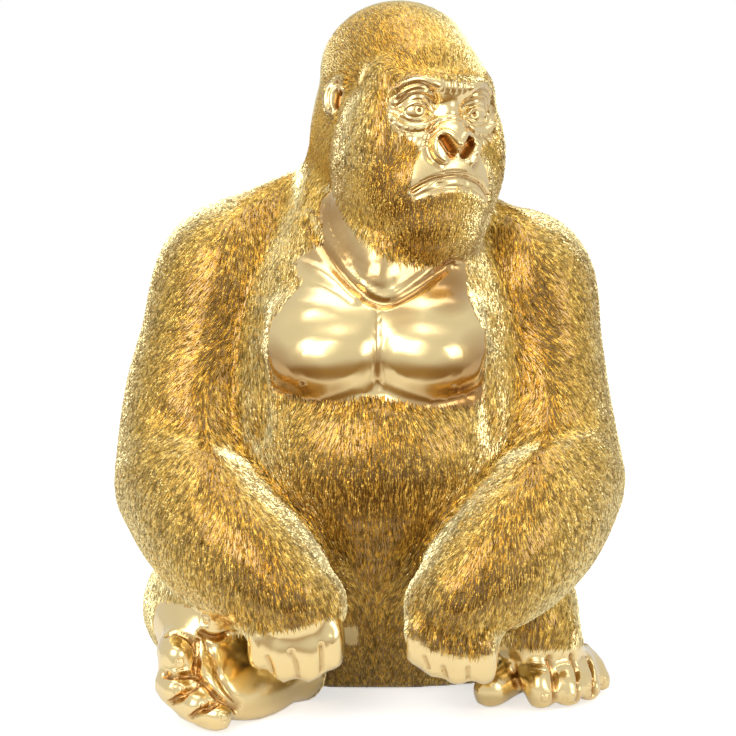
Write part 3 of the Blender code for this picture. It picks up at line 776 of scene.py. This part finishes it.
for pad in TOE_PADS:
    work.stroke([pad], *TOE_PAD)
work.settle()
for furrow in TOE_FURROWS:
    work.stroke(furrow, *TOE_FURROW)
work.stroke(SOLE_EDGE, *SOLE_FOLD)
work.settle()
for centre in NAILS:
    nail(centre)
for toe_crease in TOE_CREASES:
    work.stroke(toe_crease, *TOE_CREASE)

# Ears. Each is a low rim in a C with a second rim inside and a hollow in front. Their paths are taken
# from the side of the head: how far back and how far up.
EAR_RIM = (
    (0.0050, 0.0262), (0.0085, 0.0268), (0.0122, 0.0245), (0.0142, 0.0195), (0.0138, 0.0135),
    (0.0105, 0.0080), (0.0060, 0.0050),
)
EAR_INNER_RIM = ((0.0045, 0.0215), (0.0078, 0.0222), (0.0098, 0.0180), (0.0092, 0.0130), (0.0068, 0.0095))
EAR_HOLLOW = ((0.0052, 0.0180), (0.0056, 0.0140), (0.0054, 0.0105))
EAR_GROOVE = ((0.0070, 0.0245), (0.0108, 0.0220), (0.0120, 0.0175), (0.0112, 0.0120), (0.0088, 0.0085))
EAR_FORMS = (
    (EAR_RIM, 0.0030, 0.0022), (EAR_INNER_RIM, 0.0020, 0.0012), (EAR_GROOVE, 0.0018, -0.0010),
    (EAR_HOLLOW, 0.0032, -0.0042),
)

for side in (-1, 1):
    work.place(head_frame @ Matrix.Rotation(side * math.pi / 2, 4, "Z"))
    for path, reach, rise in EAR_FORMS:
        work.stroke([(side * back, up) for back, up in path], reach, rise)
work.settle()

# Finish of the skin: polished gold on the bare parts, with painted shade in the creases, in spots low on
# the breast and throat and in the carved eyes, and dark brown on the skin under the fur, between the
# carved strokes. Each spot of painted shade has its x, its z, how far it reaches and how dark it is.
PAINTED_SHADE_SPOTS = (
    (-0.052, 0.186, 0.026, 0.9), (-0.026, 0.181, 0.016, 0.6), (0.052, 0.181, 0.030, 1.0),
    (0.026, 0.178, 0.016, 0.6), (0.058, 0.205, 0.016, 0.6), (-0.060, 0.205, 0.012, 0.5),
    (0.042, 0.243, 0.018, 0.9), (0.014, 0.229, 0.012, 0.5), (-0.026, 0.280, 0.016, 0.8),
    (-0.018, 0.262, 0.014, 0.7), (-0.002, 0.252, 0.013, 0.6), (0.020, 0.250, 0.012, 0.6),
    (-0.036, 0.258, 0.010, 0.5), (0.001, 0.205, 0.006, 0.3),
)
# How deep a crease is when its painted shade is full, the ears' darker tone, and the painted shade in the
# carved iris rings and pupils
FULL_SHADE_DEPTH = 0.0026
EAR_AMBER = 0.30
IRIS_SHADE = 0.40
PUPIL_SHADE = 0.95
polish = body.attributes.new("bare", "FLOAT", "POINT")
polish.data.foreach_set("value", bare(work.co).astype(np.float32))
x, y, z = (work.co - np.array(SPINE)).T
# Painted shade from the depth of each crease, then from the spots on the breast and throat
painted_shade = np.clip(work.crease_shade / FULL_SHADE_DEPTH, 0, 1)
spot_shade = np.zeros(len(x))
for spot_x, spot_z, reach, depth in PAINTED_SHADE_SPOTS:
    fade = np.clip(1 - ((x - spot_x) ** 2 + (z - spot_z) ** 2) / reach**2, 0, 1)
    spot_shade = 1 - (1 - spot_shade) * (1 - depth * fade)
painted_shade = np.where(on_chest(work.co), 1 - (1 - painted_shade) * (1 - spot_shade), painted_shade)
painted_shade = np.where(on_ear(work.co), np.maximum(painted_shade, EAR_AMBER), painted_shade)
local = head_local(work.co)
for iris_x, iris_z in IRISES:
    off = np.hypot(local[:, 0] - iris_x, local[:, 2] - iris_z)
    for reach, depth in ((IRIS_RADIUS, IRIS_SHADE), (PUPIL_RADIUS, PUPIL_SHADE)):
        painted_shade = np.where((off < reach) & (local[:, 1] < FACE_DEPTH), np.maximum(painted_shade, depth), painted_shade)
crease_shade = body.attributes.new("crease_shade", "FLOAT", "POINT")
crease_shade.data.foreach_set("value", painted_shade.astype(np.float32))

# The three colours: dark brown under the fur, gold, and the deeper gold of the painted shade; and the clear
# lacquer over them
UNDER_FUR_BROWN = (0.300, 0.165, 0.040, 1)
BARE_GOLD = (0.93, 0.72, 0.34, 1)
SHADE_GOLD = (0.42, 0.20, 0.032, 1)
BARE_ROUGHNESS = 0.24
LACQUER = 1.0
LACQUER_ROUGHNESS = 0.16
gold_with_painted_shade = bpy.data.materials.new("gold_with_painted_shade")
tree, add = shader_tree(gold_with_painted_shade)
shader = add("ShaderNodeBsdfPrincipled")
is_bare = add("ShaderNodeAttribute", attribute_name="bare")
shade_share = add("ShaderNodeAttribute", attribute_name="crease_shade")
# Gold, darkened towards a deeper gold where painted shade lies
gold_and_shade = blended(tree, add, shade_share.outputs["Fac"], BARE_GOLD, SHADE_GOLD)
# Dark brown on the furred skin, which shows in the gaps between the strokes
toned = blended(tree, add, is_bare.outputs["Fac"], UNDER_FUR_BROWN, gold_and_shade)
tree.links.new(toned, shader.inputs["Base Color"])
shader.inputs["Metallic"].default_value = 1.0
shader.inputs["Roughness"].default_value = BARE_ROUGHNESS
shader.inputs["Coat Weight"].default_value = LACQUER
shader.inputs["Coat Roughness"].default_value = LACQUER_ROUGHNESS
tree.links.new(shader.outputs[0], add("ShaderNodeOutputMaterial").inputs["Surface"])
body.materials.clear()
body.materials.append(gold_with_painted_shade)

skin = bpy.data.objects.new("skin", body)
bpy.context.collection.objects.link(skin)
body.shade_smooth()
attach(skin, "root")
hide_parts("gorilla")

# Fur. In the mould it is carved as short overlapping strokes, each a low ridge that runs out to a
# point, combed away from the face, down the body and off a parting along each arm. The coats' numbers
# are the spacing, length, width and height of the strokes.
HEAD_COAT = (0.00122, 0.0050, 0.00086, 0.00062)
BODY_COAT = (0.00160, 0.0072, 0.00108, 0.00078)
# How deep the root sits, how high the tip ends, and how far a stroke swings off the combed way
STROKE_SINK = 0.0005
STROKE_TIP = 0.00012
STROKE_SWING = 0.11
# How far a stroke is moved along and aside, as shares of the spacing, and how its sizes vary
SCATTER_ALONG = 0.5
SCATTER_ASIDE = 0.4
LENGTH_VARIES = (0.7, 1.25)
WIDTH_VARIES = (0.8, 1.2)
SEED = 7
# Lowest fur, and where the head's coat ends
FUR_FOOT = 0.0012
HEAD_EDGE = 1.04
# Where the back and the arms begin, to part the fur into pieces
BACK_DEPTH = 0.045
ARM_SIDE = 0.060
# The share of strokes kept where the skin is turned to the back; those are wider
TURNED_AWAY = 0.30
AWAY_SHARE = 0.60
# Tone of the strokes, from dark to bright; those on the head start higher
TONE_RANGE = (0.1, 0.9)
HEAD_TONE = 0.18
# How much painted light each corner of a stroke gets, from the painted shade at its root to the painted
# highlight on its ridge
LIGHT_AT_ROOT = 0.05
LIGHT_AT_EDGE = 0.20
LIGHT_AT_TIP = 0.80
LIGHT_AT_RIDGE = 1.0
PATTERN_WIDTH = 0.004

# How the fur lies, seen from the front: x, z and the lean from straight down towards +X, in degrees.
# The other half of the body mirrors it.
COMBING = (
    (-0.100, 0.275, -55), (-0.110, 0.245, -45), (-0.078, 0.262, -10), (-0.063, 0.240, -3),
    (-0.045, 0.270, 8), (-0.092, 0.228, -35), (-0.112, 0.228, -45), (-0.080, 0.228, -18),
    (-0.108, 0.211, -55), (-0.090, 0.211, -50), (-0.124, 0.194, -45), (-0.130, 0.170, -30),
    (-0.074, 0.211, -5), (-0.063, 0.205, 12), (-0.060, 0.180, 15), (-0.069, 0.228, 0), (-0.134, 0.158, -45),
    (-0.122, 0.148, -45), (-0.106, 0.156, -40), (-0.096, 0.148, -15), (-0.135, 0.130, -30),
    (-0.117, 0.125, -25), (-0.096, 0.115, -15), (-0.082, 0.131, 5), (-0.088, 0.158, 35), (-0.068, 0.137, 45),
    (-0.051, 0.120, 45), (-0.040, 0.103, 40), (-0.029, 0.086, 35), (-0.021, 0.070, 28), (-0.073, 0.120, 5),
    (-0.062, 0.103, 5), (-0.051, 0.080, 10), (-0.040, 0.070, 18), (-0.123, 0.103, -20), (-0.096, 0.092, -10),
    (-0.112, 0.080, -15), (-0.080, 0.069, -6), (-0.068, 0.056, -8), (-0.096, 0.063, -10), (-0.040, 0.050, 5),
    (-0.074, 0.160, 35), (-0.061, 0.154, 22), (-0.039, 0.165, -30), (0.000, 0.162, 0), (-0.039, 0.143, -15),
    (0.000, 0.143, 0), (-0.018, 0.115, -6), (0.000, 0.090, 0), (0.000, 0.050, 0), (-0.010, 0.020, 0),
    (-0.120, 0.060, 15), (-0.117, 0.045, 40), (-0.128, 0.050, 10),
)
COMBING_POWER = 4
COMBING_NEAREST = 0.002
# The lean counts where the skin faces forward, and fades out towards the back
LEAN_AT_SIDE = 0.5
LEAN_FADE = 1.2
# Where the fur of the head parts from, low in the face, and how it drops below there in the beard
FACE_PARTING = (0, -0.030, 0.004)
BEARD_TOP = 0.030
BEARD_SPAN = 0.050
BEARD_MOST = 1.4
BEARD_DROP = 0.030
HEAD_BLEND_END = 1.10
HEAD_BLEND = 0.10


def lean_of(x, z):
    """The combed lean at each place, in radians."""
    guides = np.array(COMBING)
    side = np.where(x > 0, 1.0, -1.0)
    apart = np.hypot(-np.abs(x)[:, None] - guides[:, 0], z[:, None] - guides[:, 1])
    weight = 1 / (apart + COMBING_NEAREST) ** COMBING_POWER
    angle = np.radians(guides[:, 2])
    across = (weight * np.sin(angle)).sum(1)
    along = (weight * np.cos(angle)).sum(1)
    return -side * np.arctan2(across, along)


def combed(spots, ways):
    """The direction in which the fur lies at each spot, along the skin."""
    x, y, z = (spots - np.array(SPINE)).T
    lean = lean_of(x, z)
    front = np.clip(LEAN_AT_SIDE - ways[:, 1] * LEAN_FADE, 0, 1)
    flow = np.stack([np.sin(lean) * front, np.zeros(len(x)), -np.cos(lean)], 1)
    local = head_local(spots)
    radial = local - np.array(FACE_PARTING)
    radial[:, 2] -= np.clip((BEARD_TOP - local[:, 2]) / BEARD_SPAN, 0, BEARD_MOST) * BEARD_DROP
    on_head = np.clip((HEAD_BLEND_END - beyond_head(spots)) / HEAD_BLEND, 0, 1)
    radial = radial @ head_axes.T
    radial /= np.linalg.norm(radial, axis=1)[:, None]
    flow = flow * (1 - on_head)[:, None] + radial * on_head[:, None]
    flow -= ways * (flow * ways).sum(1)[:, None]
    length = np.linalg.norm(flow, axis=1)
    return flow / np.maximum(length, TINY)[:, None]


# One stroke: a three-sided spindle with its ridge up, laid along X from its root to its tip
form = bmesh.new()
bmesh.ops.create_cone(form, cap_ends=True, segments=3, radius1=1, radius2=0, depth=1)
bmesh.ops.remove_doubles(form, verts=form.verts[:], dist=0.01)
cap = min(form.faces, key=lambda f: f.calc_center_median().z)
bmesh.ops.poke(form, faces=[cap], offset=1.0)
form.verts.ensure_lookup_table()
bmesh.ops.recalc_face_normals(form, faces=form.faces[:])
stroke_spots = np.array([v.co[:] for v in form.verts])
stroke_faces = np.array([[v.index for v in f.verts] for f in form.faces])
form.free()
# Which corner of the spindle is which: -1 at the root, 0 in the middle and 1 at the tip
end_of = np.where(stroke_spots[:, 2] < -1, -1, np.where(stroke_spots[:, 2] > 0, 1, 0))
aside = np.sign(np.round(stroke_spots[:, 0], 3))
is_ridge = stroke_spots[:, 1] > 0.5

chance = np.random.default_rng(SEED)


def coat(step, length, width, height, wanted):
    """The corners of all strokes of one coat, five to a stroke, and the strokes' middles."""
    carrier = remeshed(body, step, 1)
    centres = np.empty(len(carrier.polygons) * 3)
    carrier.polygons.foreach_get("center", centres)
    centres = centres.reshape(-1, 3)
    ways = np.empty(len(carrier.polygons) * 3)
    carrier.polygons.foreach_get("normal", ways)
    ways = ways.reshape(-1, 3)
    faces = [p.vertices[:] for p in carrier.polygons]
    surface = BVHTree.FromPolygons([v.co[:] for v in carrier.vertices], faces)
    away = ways[:, 1] > TURNED_AWAY
    furred = wanted(centres) & ~bare(centres) & (centres[:, 2] > FUR_FOOT)
    furred &= ~(away & (chance.random(len(centres)) > AWAY_SHARE))
    middles = centres[furred]
    ways = ways[furred]
    wide = np.where(away[furred], AWAY_SHARE ** -0.5, 1.0)[:, None]
    flow = combed(middles, ways)
    sides = np.cross(ways, flow)
    count = len(middles)
    middles = middles + flow * chance.uniform(-SCATTER_ALONG, SCATTER_ALONG, (count, 1)) * step
    middles = middles + sides * chance.uniform(-SCATTER_ASIDE, SCATTER_ASIDE, (count, 1)) * step
    swing = chance.normal(0, STROKE_SWING, (count, 1))
    flow = flow * np.cos(swing) + sides * np.sin(swing)
    sides = np.cross(ways, flow)
    half = length * chance.uniform(*LENGTH_VARIES, (count, 1)) / 2 * wide
    width = width * chance.uniform(*WIDTH_VARIES, (count, 1)) * wide
    height = height * chance.uniform(*LENGTH_VARIES, (count, 1))

    def seated(spots):
        """The nearest places on the skin, and the ways that the skin faces there."""
        found = [surface.find_nearest(spot) for spot in spots]
        return np.array([f[0][:] for f in found]), np.array([f[1][:] for f in found])

    roots, root_ways = seated(middles - flow * half)
    tips, tip_ways = seated(middles + flow * half)
    corners = np.empty((count, len(stroke_spots), 3))
    for k in range(len(stroke_spots)):
        if end_of[k] < 0:
            corners[:, k] = roots - root_ways * STROKE_SINK
        elif end_of[k] > 0:
            corners[:, k] = tips + tip_ways * STROKE_TIP
        elif is_ridge[k]:
            corners[:, k] = middles + ways * height
        else:
            corners[:, k] = middles + sides * aside[k] * width / 2 - ways * STROKE_SINK / 2
    bpy.data.meshes.remove(carrier)
    return corners, middles


head_corners, head_middles = coat(*HEAD_COAT, lambda spots: beyond_head(spots) < HEAD_EDGE)
body_corners, body_middles = coat(*BODY_COAT, lambda spots: beyond_head(spots) >= HEAD_EDGE)
strokes = np.concatenate([head_corners, body_corners])
strokes[:, :, 2] = np.maximum(strokes[:, :, 2], 0.0)
FUR_PIECES = ("fur_head", "fur_back", "fur_right_arm", "fur_left_arm", "fur_front")
x, y, z = (body_middles - np.array(SPINE)).T
piece_of = np.select([y > BACK_DEPTH, x < -ARM_SIDE, x > ARM_SIDE], [1, 2, 3], 4)
piece_of = np.concatenate([np.zeros(len(head_middles), int), piece_of])
tone_of = chance.uniform(*TONE_RANGE, len(piece_of))
tone_of[piece_of == 0] = HEAD_TONE + (1 - HEAD_TONE) * tone_of[piece_of == 0]
# Painted shade at each stroke's root and edges, painted highlight at its tip and ridge
painted_light = np.select([end_of < 0, end_of > 0, is_ridge], [LIGHT_AT_ROOT, LIGHT_AT_TIP, LIGHT_AT_RIDGE], LIGHT_AT_EDGE)

# Colours of the strokes, from the painted shade at their roots through middle gold to the painted highlight
# on their ridges
FUR_SHADE = (0.19, 0.105, 0.028, 1)
FUR_MIDDLE = (0.74, 0.53, 0.20, 1)
FUR_MIDDLE_AT = 0.45
FUR_HIGHLIGHT = (0.98, 0.82, 0.43, 1)
FUR_ROUGHNESS = 0.28
# How bright the darkest stroke is, how much brighter the brightest one, and the most that any is
TONE_LEAST = 0.36
TONE_SPREAD = 1.10
TONE_MOST = (0.99, 0.85, 0.47)
fur_gold = bpy.data.materials.new("carved_fur_gold_painted_light")
tree, add = shader_tree(fur_gold)
shader = add("ShaderNodeBsdfPrincipled")
map_place = add("ShaderNodeUVMap", uv_map="OFBake")
parts = add("ShaderNodeSeparateXYZ")
tree.links.new(map_place.outputs[0], parts.inputs[0])
# The map's Y chooses between painted shade and painted highlight; its X is the stroke's own tone
ramp = add("ShaderNodeValToRGB")
ramp.color_ramp.elements[0].color = FUR_SHADE
ramp.color_ramp.elements[1].color = FUR_HIGHLIGHT
middle = ramp.color_ramp.elements.new(FUR_MIDDLE_AT)
middle.color = FUR_MIDDLE
tree.links.new(parts.outputs["Y"], ramp.inputs[0])
spread = arithmetic(tree, add, "MULTIPLY", parts.outputs["X"], TONE_SPREAD)
brightness = arithmetic(tree, add, "ADD", spread, TONE_LEAST)
toned = add("ShaderNodeVectorMath", operation="SCALE")
tree.links.new(ramp.outputs[0], toned.inputs[0])
tree.links.new(brightness, toned.inputs["Scale"])
held = add("ShaderNodeVectorMath", operation="MINIMUM")
held.inputs[1].default_value = TONE_MOST
tree.links.new(toned.outputs[0], held.inputs[0])
tree.links.new(held.outputs[0], shader.inputs["Base Color"])
shader.inputs["Metallic"].default_value = 1.0
shader.inputs["Roughness"].default_value = FUR_ROUGHNESS
tree.links.new(shader.outputs[0], add("ShaderNodeOutputMaterial").inputs["Surface"])

for place, name in enumerate(FUR_PIECES):
    chosen = np.flatnonzero(piece_of == place)
    mesh = bpy.data.meshes.new(name)
    spots = strokes[chosen].reshape(-1, 3)
    first = len(stroke_spots) * np.arange(len(chosen))
    corners = (stroke_faces[None] + first[:, None, None]).reshape(-1, 3)
    mesh.vertices.add(len(spots))
    mesh.vertices.foreach_set("co", spots.ravel())
    mesh.loops.add(corners.size)
    mesh.loops.foreach_set("vertex_index", corners.ravel())
    mesh.polygons.add(len(corners))
    mesh.polygons.foreach_set("loop_start", np.arange(0, corners.size, 3))
    mesh.update(calc_edges=True)
    pattern = mesh.uv_layers.new(name="OFBake")
    # The map's u is each stroke's own tone, its v the painted light at each corner
    u = (tone_of[chosen][:, None] + PATTERN_WIDTH * aside[None]).ravel()
    v = np.tile(painted_light, len(chosen))
    pattern.data.foreach_set("uv", np.stack([u[corners.ravel()], v[corners.ravel()]], 1).ravel())
    mesh.shade_flat()
    mesh.materials.append(fur_gold)
    fur = bpy.data.objects.new(name, mesh)
    bpy.context.collection.objects.link(fur)
    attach(fur, "root")
